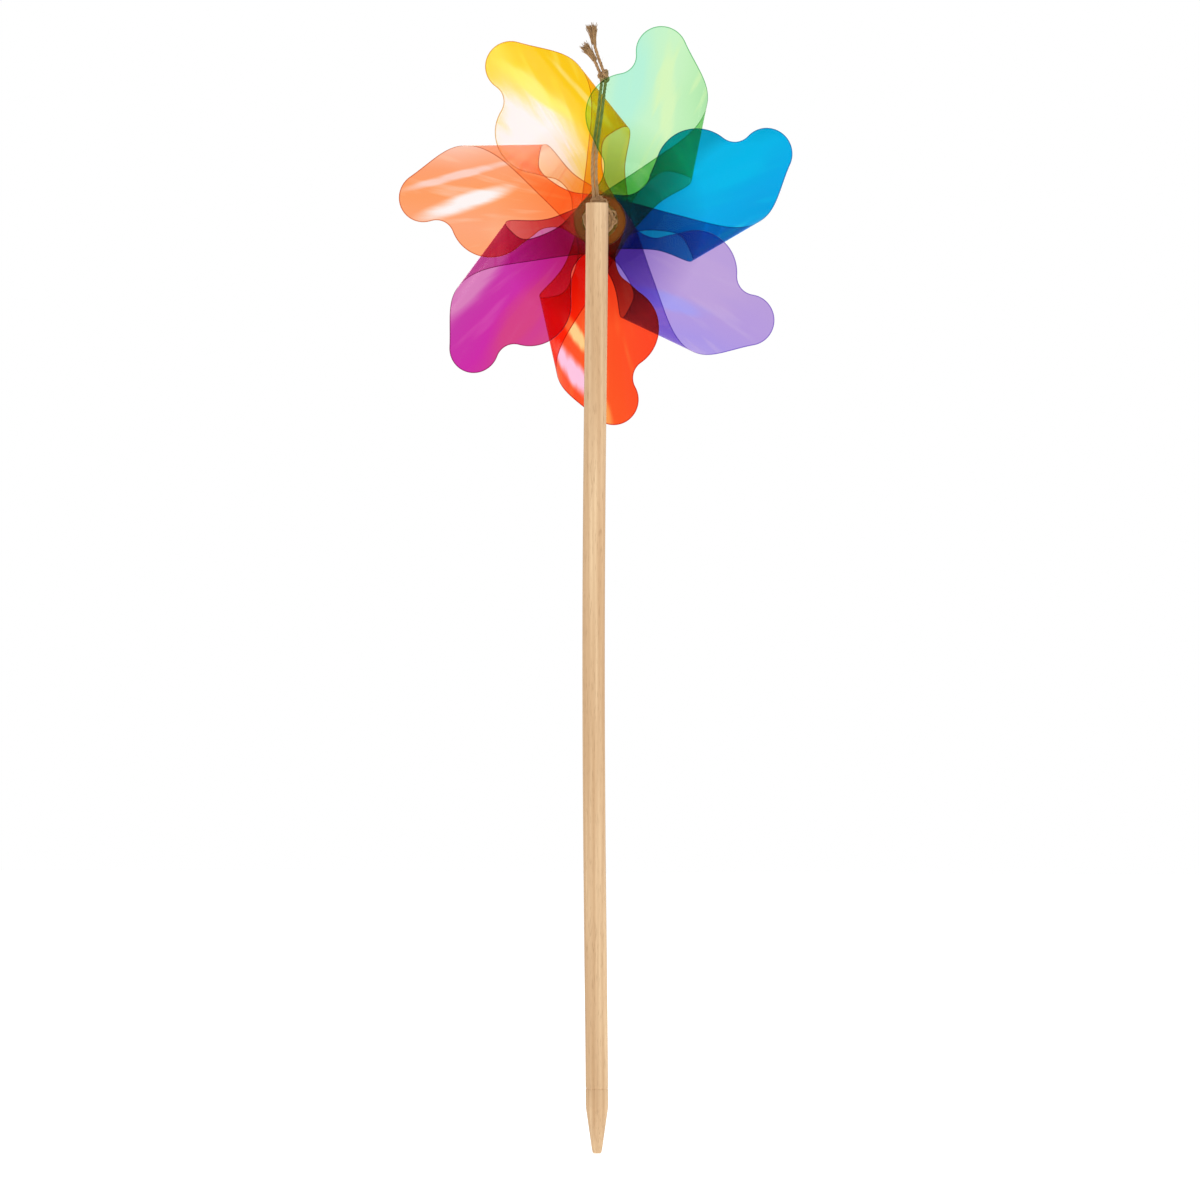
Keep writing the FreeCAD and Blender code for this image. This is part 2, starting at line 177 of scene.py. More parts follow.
def add(tree, kind, inputs=None, stops=None, **settings):
    """Adds a node: its settings, its ramp's stops, and its inputs, each a value or another node's output."""
    made = tree.nodes.new(kind)
    for name, value in settings.items():
        setattr(made, name, value)
    for key, value in (inputs or {}).items():
        if isinstance(value, bpy.types.NodeSocket):
            tree.links.new(value, made.inputs[key])
        else:
            made.inputs[key].default_value = value
    if stops:
        elements = made.color_ramp.elements
        while len(elements) < len(stops):
            elements.new(1.0)
        for element, (position, colour) in zip(elements, stops):
            element.position = position
            element.color = colour
    return made


def mixed(tree, share, first, second, blend="MIX"):
    """Colour mixed from two by a share."""
    inputs = {"Factor": share, "A": first, "B": second}
    return add(tree, "ShaderNodeMix", inputs, data_type="RGBA", blend_type=blend).outputs["Result"]


def grey(level):
    return (level, level, level, 1.0)


def white_paper():
    """Studio paper lit from below: matt, with a glow that keeps it white where the lamps don't reach."""
    made, tree = new_tree("white_paper")
    shader = add(
        tree,
        "ShaderNodeBsdfPrincipled",
        {"Base Color": grey(0.85), "Roughness": 0.95, "Emission Color": grey(1.0), "Emission Strength": 0.5},
    )
    add(tree, "ShaderNodeOutputMaterial", {"Surface": shader.outputs[0]})
    return made


def beech_dowel():
    """Turned beech, sanded and unfinished: straw ground, soft growth bands and short dark flecks."""
    made, tree = new_tree("beech_dowel")
    place = add(tree, "ShaderNodeTexCoord").outputs["Object"]
    along = add(tree, "ShaderNodeMapping", {"Vector": place, "Scale": (1.0, 1.0, 0.03)}).outputs[0]
    broad = add(tree, "ShaderNodeTexNoise", {"Vector": along, "Scale": 170.0, "Detail": 2.0}).outputs[0]
    bands = add(
        tree,
        "ShaderNodeTexWave",
        {"Vector": along, "Scale": 95.0, "Distortion": 6.0, "Detail": 3.0, "Detail Scale": 1.4},
        bands_direction="X",
    ).outputs["Fac"]
    fleck_place = add(tree, "ShaderNodeMapping", {"Vector": place, "Scale": (1.0, 1.0, 0.07)}).outputs[0]
    fleck_size = {"Vector": fleck_place, "Scale": 1700.0, "Detail": 3.0}
    flecks = add(tree, "ShaderNodeTexNoise", fleck_size).outputs[0]
    ground = add(
        tree,
        "ShaderNodeValToRGB",
        {"Fac": broad},
        stops=((0.32, linear("C9A277")), (0.5, linear("D6B288")), (0.68, linear("E6C69C"))),
    ).outputs["Color"]
    band_share = add(tree, "ShaderNodeMath", {0: bands, 1: 0.38}, operation="MULTIPLY").outputs[0]
    banded = mixed(tree, band_share, ground, linear("BE9770"))
    fleck_share = add(tree, "ShaderNodeMapRange", {0: flecks, 1: 0.56, 2: 0.74, 4: 0.55}).outputs[0]
    flecked = mixed(tree, fleck_share, banded, linear("9C7650"))
    bump = add(tree, "ShaderNodeBump", {"Height": flecks, "Strength": 0.25, "Distance": 0.0002}).outputs[0]
    rough = add(tree, "ShaderNodeMapRange", {0: broad, 3: 0.5, 4: 0.66}).outputs[0]
    shader = add(
        tree,
        "ShaderNodeBsdfPrincipled",
        {"Base Color": flecked, "Roughness": rough, "Normal": bump, "Specular IOR Level": 0.35},
    )
    add(tree, "ShaderNodeOutputMaterial", {"Surface": shader.outputs[0]})
    return made


def film_petal(name, look):
    """Iridescent PET film, tinted in the sheet: clear and glossy, with pale streaks fanning from the hub that
    are painted reflections.

    Its colour runs from the shoulder over the roll to the front tab, gets deeper towards the hub, and turns
    pale in long patches, painted reflections of the studio lights that stand for its sheen. Along the cut
    edge it deepens in a painted band, the look of light leaving the sheet there. The tabs have a little body
    at the hub.
    """
    made, tree = new_tree("film_" + name)
    place = add(tree, "ShaderNodeUVMap", uv_map="sheet").outputs[0]
    parts = add(tree, "ShaderNodeSeparateXYZ", {0: place})
    flat, out = parts.outputs[0], parts.outputs[1]
    wander = add(tree, "ShaderNodeTexNoise", {"Vector": place, "Scale": 2.3, "Detail": 1.0}).outputs[0]
    reach = add(tree, "ShaderNodeMath", {0: out, 1: 0.35}, operation="ADD").outputs[0]
    fan = add(tree, "ShaderNodeMath", {0: flat, 1: reach}, operation="DIVIDE").outputs[0]
    slow_out = add(tree, "ShaderNodeMath", {0: out, 1: 0.12}, operation="MULTIPLY").outputs[0]
    fan_place = add(tree, "ShaderNodeCombineXYZ", {0: fan, 1: slow_out}).outputs[0]
    streaks = add(tree, "ShaderNodeTexNoise", {"Vector": fan_place, "Scale": 13.0, "Detail": 3.5}).outputs[0]
    shift = add(tree, "ShaderNodeMapRange", {0: wander, 3: -0.05, 4: 0.05}).outputs[0]
    spread = add(tree, "ShaderNodeMapRange", {0: flat, 1: -0.26, 2: 1.43}).outputs[0]
    across = add(tree, "ShaderNodeMath", {0: spread, 1: shift}, operation="ADD").outputs[0]
    stops = [(position, one_skin(colour)) for position, colour in look["sheet"]]
    colour = add(tree, "ShaderNodeValToRGB", {"Fac": across}, stops=stops).outputs["Color"]
    # Painted reflections: pale streaks of the studio lights, mixed into the tint where the streak noise is
    # high.
    reflection_streak_colour, reflection_streak_share = look["painted_streak"]
    share = add(tree, "ShaderNodeMapRange", {0: streaks, 1: 0.52, 2: 0.66, 4: reflection_streak_share}).outputs[0]
    colour = mixed(tree, share, colour, one_skin(reflection_streak_colour))
    # Painted reflections: pale patches of the studio lights' glare, fixed on the flat sheet and mixed into
    # the tint.
    for centre, half_size, turn, glare_colour, glare_share in look["patches"]:
        local = add(
            tree,
            "ShaderNodeMapping",
            {
                "Vector": place,
                "Location": (centre[0] / SHEET_UNIT, centre[1] / SHEET_UNIT, 0),
                "Rotation": (0, 0, math.radians(turn)),
                "Scale": (half_size[0] / SHEET_UNIT, half_size[1] / SHEET_UNIT, 1),
            },
            vector_type="TEXTURE",
        ).outputs[0]
        near = add(tree, "ShaderNodeTexGradient", {"Vector": local}, gradient_type="SPHERICAL").outputs["Fac"]
        uneven = add(tree, "ShaderNodeMath", {0: near, 1: streaks}, operation="MULTIPLY").outputs[0]
        glare_fac = add(
            tree,
            "ShaderNodeMapRange",
            {0: uneven, 1: 0.02, 2: 0.3, 4: glare_share},
            interpolation_type="SMOOTHSTEP",
        ).outputs[0]
        colour = mixed(tree, glare_fac, colour, one_skin(glare_colour))
    hub_distance = add(tree, "ShaderNodeAttribute", attribute_name="hub_distance").outputs["Fac"]
    tint_reach = {0: hub_distance, 1: TINT_REACH[0] * MM, 2: TINT_REACH[1] * MM, 4: 0.5}
    closeness = add(tree, "ShaderNodeMapRange", tint_reach).outputs[0]
    colour = mixed(tree, closeness, colour, one_skin(look["deep"]), "MULTIPLY")
    # Painted edge shade: the tint deepens along the cut edge, the look of light that runs inside the sheet
    # and leaves at its edge.
    edge = add(tree, "ShaderNodeAttribute", attribute_name="edge").outputs["Fac"]
    edge_shade_share = add(tree, "ShaderNodeMapRange", {0: edge, 1: 0.1, 2: 0.75, 4: 0.9}).outputs[0]
    colour = mixed(tree, edge_shade_share, colour, one_skin(look["rim"]), "MULTIPLY")
    clear = add(tree, "ShaderNodeBsdfTransparent", {"Color": colour}).outputs[0]
    rainbow = add(
        tree,
        "ShaderNodeValToRGB",
        {"Fac": streaks},
        stops=(
            (0.3, linear("BFE6FF")),
            (0.45, linear("FFE9F6")),
            (0.6, linear("FFF6C8")),
            (0.75, linear("D8C8FF")),
        ),
    ).outputs["Color"]
    gloss = add(tree, "ShaderNodeBsdfGlossy", {"Color": rainbow, "Roughness": 0.08}).outputs[0]
    facing = add(tree, "ShaderNodeLayerWeight", {"Blend": 0.5}).outputs["Facing"]
    slope = add(tree, "ShaderNodeMath", {0: facing, 1: 4.0}, operation="POWER").outputs[0]
    reflected = add(tree, "ShaderNodeMapRange", {0: slope, 3: 0.006, 4: 0.4}).outputs[0]
    body = add(tree, "ShaderNodeBsdfDiffuse", {"Color": colour}).outputs[0]
    body_reach = {0: hub_distance, 1: TAB_BODY_REACH[0] * MM, 2: TAB_BODY_REACH[1] * MM, 4: 0.055}
    tab_body = add(tree, "ShaderNodeMapRange", body_reach).outputs[0]
    sheet = add(tree, "ShaderNodeMixShader", {0: tab_body, 1: clear, 2: body}).outputs[0]
    film = add(tree, "ShaderNodeMixShader", {0: reflected, 1: sheet, 2: gloss}).outputs[0]
    add(tree, "ShaderNodeOutputMaterial", {"Surface": film})
    return made


def jute(name, shade):
    """Jute: dry brown bast fibres, laid along the ply, with pale and dark hairs among them and no shine."""
    made, tree = new_tree(name)
    place = add(tree, "ShaderNodeUVMap", uv_map="ply").outputs[0]
    stretched = add(tree, "ShaderNodeMapping", {"Vector": place, "Scale": (5.0, 26.0, 1.0)}).outputs[0]
    fibres = add(tree, "ShaderNodeTexNoise", {"Vector": stretched, "Scale": 1.0, "Detail": 4.0}).outputs[0]
    patches = add(tree, "ShaderNodeTexNoise", {"Vector": place, "Scale": 2.2, "Detail": 2.0}).outputs[0]
    colour = add(
        tree,
        "ShaderNodeValToRGB",
        {"Fac": fibres},
        stops=(
            (0.3, linear("805A34")),
            (0.45, linear(shade)),
            (0.6, linear("CDA676")),
            (0.75, linear("EAD3AE")),
        ),
    ).outputs["Color"]
    shade_share = add(tree, "ShaderNodeMapRange", {0: patches, 1: 0.42, 2: 0.62, 4: 0.6}).outputs[0]
    toned = mixed(tree, shade_share, colour, linear("765430"))
    bump = add(tree, "ShaderNodeBump", {"Height": fibres, "Strength": 0.7, "Distance": 0.0003}).outputs[0]
    shader = add(
        tree,
        "ShaderNodeBsdfPrincipled",
        {
            "Base Color": toned,
            "Roughness": 0.9,
            "Normal": bump,
            "Specular IOR Level": 0.2,
            "Sheen Weight": 0.25,
        },
    )
    add(tree, "ShaderNodeOutputMaterial", {"Surface": shader.outputs[0]})
    return made


def moulded_polypropylene():
    """Smoke-brown polypropylene, injection moulded: half clear and a little waxy, with a pale painted
    highlight on its edges.
    """
    made, tree = new_tree("moulded_polypropylene")
    place = add(tree, "ShaderNodeTexCoord").outputs["Object"]
    flow = add(tree, "ShaderNodeTexNoise", {"Vector": place, "Scale": 260.0, "Detail": 2.0}).outputs[0]
    skin = add(tree, "ShaderNodeTexNoise", {"Vector": place, "Scale": 2600.0, "Detail": 1.0}).outputs[0]
    colour = add(
        tree,
        "ShaderNodeValToRGB",
        {"Fac": flow},
        stops=((0.35, linear("8C6E1E")), (0.65, linear("A88A30"))),
    ).outputs["Color"]
    normal = add(tree, "ShaderNodeNewGeometry").outputs["Normal"]
    along_axle = add(tree, "ShaderNodeSeparateXYZ", {0: normal}).outputs[1]
    slope = add(tree, "ShaderNodeMath", {0: along_axle}, operation="ABSOLUTE").outputs[0]
    # Painted highlight: faces turned across the axle, the rims, get a pale colour for light that leaves the
    # plastic at its edges.
    edge_highlight_share = add(tree, "ShaderNodeMapRange", {0: slope, 1: 0.7, 2: 0.3}).outputs[0]
    toned = mixed(tree, edge_highlight_share, colour, linear("DCCB88"))
    rough = add(tree, "ShaderNodeMapRange", {0: flow, 3: 0.28, 4: 0.42}).outputs[0]
    bump = add(tree, "ShaderNodeBump", {"Height": skin, "Strength": 0.12, "Distance": 0.0001}).outputs[0]
    solid = add(
        tree,
        "ShaderNodeBsdfPrincipled",
        {"Base Color": toned, "Roughness": rough, "Normal": bump},
    ).outputs[0]
    clear = add(tree, "ShaderNodeBsdfTransparent", {"Color": linear("CDB980")}).outputs[0]
    smoke = add(tree, "ShaderNodeMixShader", {0: 0.4, 1: clear, 2: solid}).outputs[0]
    add(tree, "ShaderNodeOutputMaterial", {"Surface": smoke})
    return made


def zinc_plated_steel():
    """Zinc-plated nail steel: pale grey metal with fine drawn scratches."""
    made, tree = new_tree("zinc_plated_steel")
    place = add(tree, "ShaderNodeTexCoord").outputs["Object"]
    drawn = add(tree, "ShaderNodeMapping", {"Vector": place, "Scale": (1.0, 0.05, 1.0)}).outputs[0]
    scratches = add(tree, "ShaderNodeTexNoise", {"Vector": drawn, "Scale": 3200.0, "Detail": 3.0}).outputs[0]
    spangle = add(tree, "ShaderNodeTexNoise", {"Vector": place, "Scale": 420.0}).outputs[0]
    colour = add(
        tree,
        "ShaderNodeValToRGB",
        {"Fac": spangle},
        stops=((0.35, linear("A9ADB0")), (0.65, linear("C9CCCD"))),
    ).outputs["Color"]
    rough = add(tree, "ShaderNodeMapRange", {0: scratches, 3: 0.25, 4: 0.45}).outputs[0]
    shader = add(
        tree,
        "ShaderNodeBsdfPrincipled",
        {"Base Color": colour, "Roughness": rough, "Metallic": 1.0},
    )
    add(tree, "ShaderNodeOutputMaterial", {"Surface": shader.outputs[0]})
    return made


# ---- studio ----

def set_camera():
    """Level camera behind the wheel and a little to its right, with a long lens."""
    data = bpy.data.cameras.new("camera")
    data.lens = LENS
    data.clip_start = 0.05
    data.clip_end = 60
    camera = bpy.data.objects.new("camera", data)
    bpy.context.scene.collection.objects.link(camera)
    turn = math.radians(VIEW_TURN)
    away = VIEW_SPAN * data.lens / data.sensor_width
    camera.location = (VIEW_ACROSS - away * math.sin(turn), -away * math.cos(turn), VIEW_HEIGHT)
    camera.rotation_euler = (math.radians(90), 0, -turn)
    bpy.context.scene.camera = camera


def softbox(name, place, target, width, height, power):
    data = bpy.data.lights.new(name, "AREA")
    data.shape = "RECTANGLE"
    data.size = width
    data.size_y = height
    data.energy = power
    light = bpy.data.objects.new(name, data)
    bpy.context.scene.collection.objects.link(light)
    light.location = place
    light.rotation_euler = (Vector(place) - Vector(target)).to_track_quat("Z", "Y").to_euler()


def set_studio():
    """White paper floor and a white surround, with soft lights behind the camera and at both sides."""
    scene = bpy.context.scene
    scene.view_settings.view_transform = "Standard"
    scene.cycles.transparent_max_bounces = 48
    world = bpy.data.worlds.new("white_surround")
    scene.world = world
    world.use_nodes = True
    tree = world.node_tree
    tree.nodes.clear()
    seen = add(tree, "ShaderNodeLightPath").outputs["Is Camera Ray"]
    strength = add(tree, "ShaderNodeMapRange", {0: seen, 3: 0.62, 4: 1.0}).outputs[0]
    light = add(tree, "ShaderNodeBackground", {"Color": grey(1.0), "Strength": strength}).outputs[0]
    add(tree, "ShaderNodeOutputWorld", {"Surface": light})
    reach = 5.0
    level = STICK_LOW.z - 0.0005
    mesh = bpy.data.meshes.new("floor")
    corners = [(-reach, -reach, level), (reach, -reach, level), (reach, reach, level), (-reach, reach, level)]
    mesh.from_pydata(corners, [], [(0, 1, 2, 3)])
    mesh.materials.append(white_paper())
    floor = bpy.data.objects.new("floor", mesh)
    scene.collection.objects.link(floor)
    middle = (0, 0, 0.4)
    softbox("key_softbox", (0.7, -1.9, 1.5), middle, 1.0, 0.8, 12)
    softbox("left_strip", (-1.7, -0.6, 0.9), middle, 0.4, 1.4, 4)
    softbox("right_strip", (1.7, -0.4, 0.8), middle, 0.4, 1.4, 4)
    softbox("front_softbox", (-0.5, 1.9, 1.3), middle, 1.2, 1.0, 9)


# ---- mesh helpers ----

def place_mesh(name, body, points, faces, materials, uvs=None, uv_name="ply"):
    """Mesh object in place that rides on a body. uvs holds one pair for each point."""
    mesh = bpy.data.meshes.new(name)
    mesh.from_pydata(points, [], faces)
    for material in materials:
        mesh.materials.append(material)
    if uvs is not None:
        layer = mesh.uv_layers.new(name=uv_name)
        corners = np.zeros(len(mesh.loops), np.int32)
        mesh.loops.foreach_get("vertex_index", corners)
        layer.data.foreach_set("uv", np.array(uvs, np.float32)[corners].ravel())
    mesh.polygons.foreach_set("use_smooth", [True] * len(mesh.polygons))
    mesh.update()
    piece = bpy.data.objects.new(name, mesh)
    bpy.context.scene.collection.objects.link(piece)
    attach(piece, body)
    return piece


def smooth_step(x):
    """0 below 0, 1 above 1, with an even slope at both ends."""
    x = min(max(x, 0.0), 1.0)
    return x * x * (3 - 2 * x)


# ---- film petals ----

def bend_profile(steps=300):
    """Places (across, away) along the roll, which turns by half a turn, softly at both ends."""
    step = BEND_LENGTH / steps
    places = [(FLAT_REACH, 0.0)]
    for i in range(steps):
        angle = math.pi * smooth_step((i + 0.5) / steps)
        across, away = places[-1]
        places.append((across + math.cos(angle) * step, away + math.sin(angle) * step))
    return places


PROFILE = bend_profile()
BEND_HEIGHT = PROFILE[-1][1]


def fold(flat):
    """(across, away) of the film at a distance along its flat sheet, with 0 at the rear hole."""
    if flat <= FLAT_REACH:
        return flat, 0.0
    if flat >= FLAT_REACH + BEND_LENGTH:
        return FLAT_LENGTH - flat, BEND_HEIGHT
    place = (flat - FLAT_REACH) / BEND_LENGTH * (len(PROFILE) - 1)
    low = int(place)
    share = place - low
    (n0, y0), (n1, y1) = PROFILE[low], PROFILE[low + 1]
    return n0 + (n1 - n0) * share, y0 + (y1 - y0) * share


def film_point(flat, out, rear_place, front_place):
    """Inner skin of the film as (across, out, depth). The blade leans, so that it clears the next petal."""
    across, away = fold(flat)
    reach = math.hypot(across, out)
    lean = math.tan(math.radians(BLADE_TILT)) * across * smooth_step((reach - TILT_START) / TILT_RUN)
    lean *= 1 - smooth_step((flat - TILT_FADE_START) / (TILT_FADE_END - TILT_FADE_START))
    lift = smooth_step((flat - FLAT_REACH) / BEND_LENGTH)
    stack = STACK_PITCH * (rear_place * (1 - lift) + front_place * lift)
    return Vector((across, out, REAR_FILM + away + lean + stack))


def on_circle(centre, radius, degrees):
    angle = math.radians(degrees)
    return centre + Vector((math.cos(angle), math.sin(angle))) * radius


def heading(degrees):
    """Way that an arc runs clockwise at this angle."""
    angle = math.radians(degrees)
    return Vector((math.sin(angle), -math.cos(angle)))


def arc(centre, radius, start, end):
    """Points round an arc, without its last one."""
    steps = max(3, round(abs(math.radians(end - start)) * radius / EDGE_STEP))
    return [on_circle(centre, radius, start + (end - start) * i / steps) for i in range(steps)]


def smooth_edge(points, first_way, last_way):
    """Points of a smooth curve through these points, without its last one, leaving and arriving as told."""
    lengths = [(b - a).length for a, b in zip(points, points[1:])]
    ways = [first_way]
    for i in range(1, len(points) - 1):
        back, on = lengths[i - 1], lengths[i]
        before, after = (points[i] - points[i - 1]) / back, (points[i + 1] - points[i]) / on
        ways.append((before * on + after * back) / (back + on))
    ways.append(last_way)
    found = []
    for i, length in enumerate(lengths):
        steps = max(2, round(length / EDGE_STEP))
        for j in range(steps):
            t = j / steps
            near = points[i] * (2 * t ** 3 - 3 * t ** 2 + 1) + points[i + 1] * (3 * t ** 2 - 2 * t ** 3)
            bend = ways[i] * (t ** 3 - 2 * t ** 2 + t) + ways[i + 1] * (t ** 3 - t ** 2)
            found.append(near + bend * length)
    return found


def petal_outline():
    """Edge of the flat petal: rear tab, neck, shoulder, notch, tip, far edge, front tab and bay."""
    rear = Vector((0, 0))
    front = Vector((FLAT_LENGTH, 0))
    notch = on_circle(SHOULDER, SHOULDER_RADIUS + NOTCH_RADIUS, NOTCH_ANGLE)
    tip = on_circle(notch, NOTCH_RADIUS + TIP_RADIUS, TIP_ANGLE)
    neck = [on_circle(rear, TAB_RADIUS, REAR_TAB_END_ANGLE)]
    neck += [Vector(p) for p in NECK_EDGE]
    neck += [on_circle(SHOULDER, SHOULDER_RADIUS, SHOULDER_START_ANGLE)]
    tip_end = on_circle(tip, TIP_RADIUS, TIP_END_ANGLE)
    tab_start = on_circle(front, TAB_RADIUS, FRONT_TAB_START_ANGLE)
    far = [tip_end]
    far += [tip_end.lerp(tab_start, share) - Vector((0, bow)) for share, bow in FAR_EDGE_BOW]
    far += [tab_start]
    bay = [on_circle(front, TAB_RADIUS, FRONT_TAB_END_ANGLE)]
    bay += [Vector((FLAT_LENGTH - back, out)) for back, out in BAY_FRONT_EDGE]
    bay += [Vector(p) for p in BAY_REAR_EDGE]
    bay += [on_circle(rear, TAB_RADIUS, REAR_TAB_START_ANGLE)]
    edge = arc(rear, TAB_RADIUS, REAR_TAB_START_ANGLE, REAR_TAB_END_ANGLE)
    edge += smooth_edge(neck, heading(REAR_TAB_END_ANGLE), heading(SHOULDER_START_ANGLE))
    edge += arc(SHOULDER, SHOULDER_RADIUS, SHOULDER_START_ANGLE, NOTCH_ANGLE)
    edge += arc(notch, NOTCH_RADIUS, NOTCH_ANGLE - 180, TIP_ANGLE)
    edge += arc(tip, TIP_RADIUS, TIP_ANGLE + 180, TIP_END_ANGLE)
    edge += smooth_edge(far, heading(TIP_END_ANGLE), heading(FRONT_TAB_START_ANGLE))
    edge += arc(front, TAB_RADIUS, FRONT_TAB_START_ANGLE, FRONT_TAB_END_ANGLE)
    edge += smooth_edge(bay, heading(FRONT_TAB_END_ANGLE), heading(REAR_TAB_START_ANGLE))
    return edge


def inside(points, loop):
    """For each point, whether it lies inside the loop."""
    x, y = points[:, 0:1], points[:, 1:2]
    a = np.array(loop)
    b = np.roll(a, -1, 0)
    crosses = (a[:, 1] > y) != (b[:, 1] > y)
    rise = np.where(b[:, 1] == a[:, 1], 1e-12, b[:, 1] - a[:, 1])
    hits = crosses & (x < (b[:, 0] - a[:, 0]) * (y - a[:, 1]) / rise + a[:, 0])
    return hits.sum(1) % 2 == 1


def inset(loop, width):
    """The clockwise loop moved inwards."""
    found = []
    for before, after, point in zip(loop[-1:] + loop[:-1], loop[1:] + loop[:1], loop):
        way = (after - before).normalized()
        found.append(point + Vector((way.y, -way.x)) * width)
    return found


def flat_sheet():
    """The flat petal as points, triangles and its edge loops: the outline and the two hub holes."""
    outline = petal_outline()
    holes = []
    for centre in (Vector((0, 0)), Vector((FLAT_LENGTH, 0))):
        holes.append([on_circle(centre, TAB_HOLE_RADIUS, -i * 360 / 32) for i in range(32)])
    rim = inset(outline, CUT_RIM_WIDTH)
    loops = [outline, rim, *holes]
    points = [p for loop in loops for p in loop]
    edges = []
    starts = []
    for loop in loops:
        start = sum(len(other) for other in loops[:len(starts)])
        starts.append(start)
        edges += [(start + i, start + (i + 1) % len(loop)) for i in range(len(loop))]
    low = np.array(outline).min(0)
    high = np.array(outline).max(0)
    grid = []
    for row, y in enumerate(np.arange(low[1], high[1], SHEET_STEP * 0.87)):
        shift = SHEET_STEP / 2 if row % 2 else 0
        grid += [(x + shift, y) for x in np.arange(low[0], high[0], SHEET_STEP)]
    grid = np.array(grid)
    keep = inside(grid, inset(outline, CUT_RIM_WIDTH + SHEET_STEP * 0.45))
    for hole in holes:
        keep &= np.linalg.norm(grid - np.array(hole).mean(0), axis=1) > TAB_HOLE_RADIUS + SHEET_STEP * 0.4
    points += [Vector(p) for p in grid[keep].tolist()]
    found = geometry.delaunay_2d_cdt(points, edges, [], 0, 1e-5, True)
    flat = np.array([tuple(p) for p in found[0]])
    triangles = np.array(found[2])
    middles = flat[triangles].mean(1)
    wanted = inside(middles, outline)
    for hole in holes:
        wanted &= ~inside(middles, hole)
    sources = found[3]
    place_of = {old: new for new, olds in enumerate(sources) for old in olds}
    edge_loops = []
    for loop, start in zip(loops, starts):
        if loop is not rim:
            edge_loops.append([place_of[start + i] for i in range(len(loop))])
    return flat, triangles[wanted].tolist(), edge_loops


FLAT_POINTS, FLAT_TRIANGLES, EDGE_LOOPS = flat_sheet()


def rolled_petal(number):
    """One petal rolled from the flat sheet, with an inner and an outer skin and a cut edge between them."""
    count = len(PETAL_NAMES)
    name = PETAL_NAMES[number]
    places = ((count - number) % count, (number - 1) % count)
    turn = math.radians(FIRST_PETAL_ANGLE - 360 / count * number + PETAL_LEANS[number])
    outward = Vector((math.cos(turn), 0, math.sin(turn)))
    crosswise = Vector((math.sin(turn), 0, -math.cos(turn)))

    def in_place(flat, out):
        across, from_axle, depth = film_point(flat, out, *places)
        return crosswise * across + outward * from_axle + Vector((0, depth, 0))

    inner, outer = [], []
    reach = 0.1
    for flat, out in FLAT_POINTS:
        here = in_place(flat, out)
        along_flat = in_place(flat + reach, out) - in_place(flat - reach, out)
        along_out = in_place(flat, out + reach) - in_place(flat, out - reach)
        normal = along_flat.cross(along_out).normalized()
        inner.append(here * MM + AXLE)
        outer.append((here + normal * FILM_THICKNESS) * MM + AXLE)
    size = len(inner)
    points = inner + outer
    faces = [tuple(t[::-1]) for t in FLAT_TRIANGLES]
    faces += [tuple(i + size for i in t) for t in FLAT_TRIANGLES]
    edge_faces = []
    for loop in EDGE_LOOPS:
        for a, b in zip(loop, loop[1:] + loop[:1]):
            edge_faces.append((a, b, b + size, a + size))
    sheet = [(flat / SHEET_UNIT, out / SHEET_UNIT) for flat, out in FLAT_POINTS] * 2
    materials = [PETAL_FILMS[name], CUT_EDGES[name]]
    piece = place_mesh("rolled_" + name, WHEEL, points, faces + edge_faces, materials, sheet, "sheet")
    hub_distance = [(Vector((p.x, 0, p.z)) - Vector((AXLE.x, 0, AXLE.z))).length for p in points]
    piece.data.attributes.new("hub_distance", "FLOAT", "POINT").data.foreach_set("value", hub_distance)
    rim_points = np.zeros(2 * size, np.float32)
    for i in EDGE_LOOPS[0]:
        rim_points[[i, i + size]] = 1.0
    piece.data.attributes.new("edge", "FLOAT", "POINT").data.foreach_set("value", rim_points)
    for polygon in piece.data.polygons[len(faces):]:
        polygon.material_index = 1
    piece.data.set_sharp_from_angle(angle=math.radians(50))
    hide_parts("petal_" + name)
    return piece


def cut_edge(name, colour):
    """Sheared edge of the film, where light that ran inside the sheet comes out deeper than the face."""
    made, tree = new_tree("cut_edge_" + name)
    place = add(tree, "ShaderNodeTexCoord").outputs["Object"]
    nicks = add(tree, "ShaderNodeTexNoise", {"Vector": place, "Scale": 900.0}).outputs[0]
    deep = linear(colour)
    pale = (*[0.4 * c + 0.6 for c in deep[:3]], 1.0)
    tone = add(tree, "ShaderNodeValToRGB", {"Fac": nicks}, stops=((0.4, deep), (0.8, pale))).outputs["Color"]
    shader = add(tree, "ShaderNodeBsdfPrincipled", {"Base Color": tone, "Roughness": 0.35})
    add(tree, "ShaderNodeOutputMaterial", {"Surface": shader.outputs[0]})
    return made
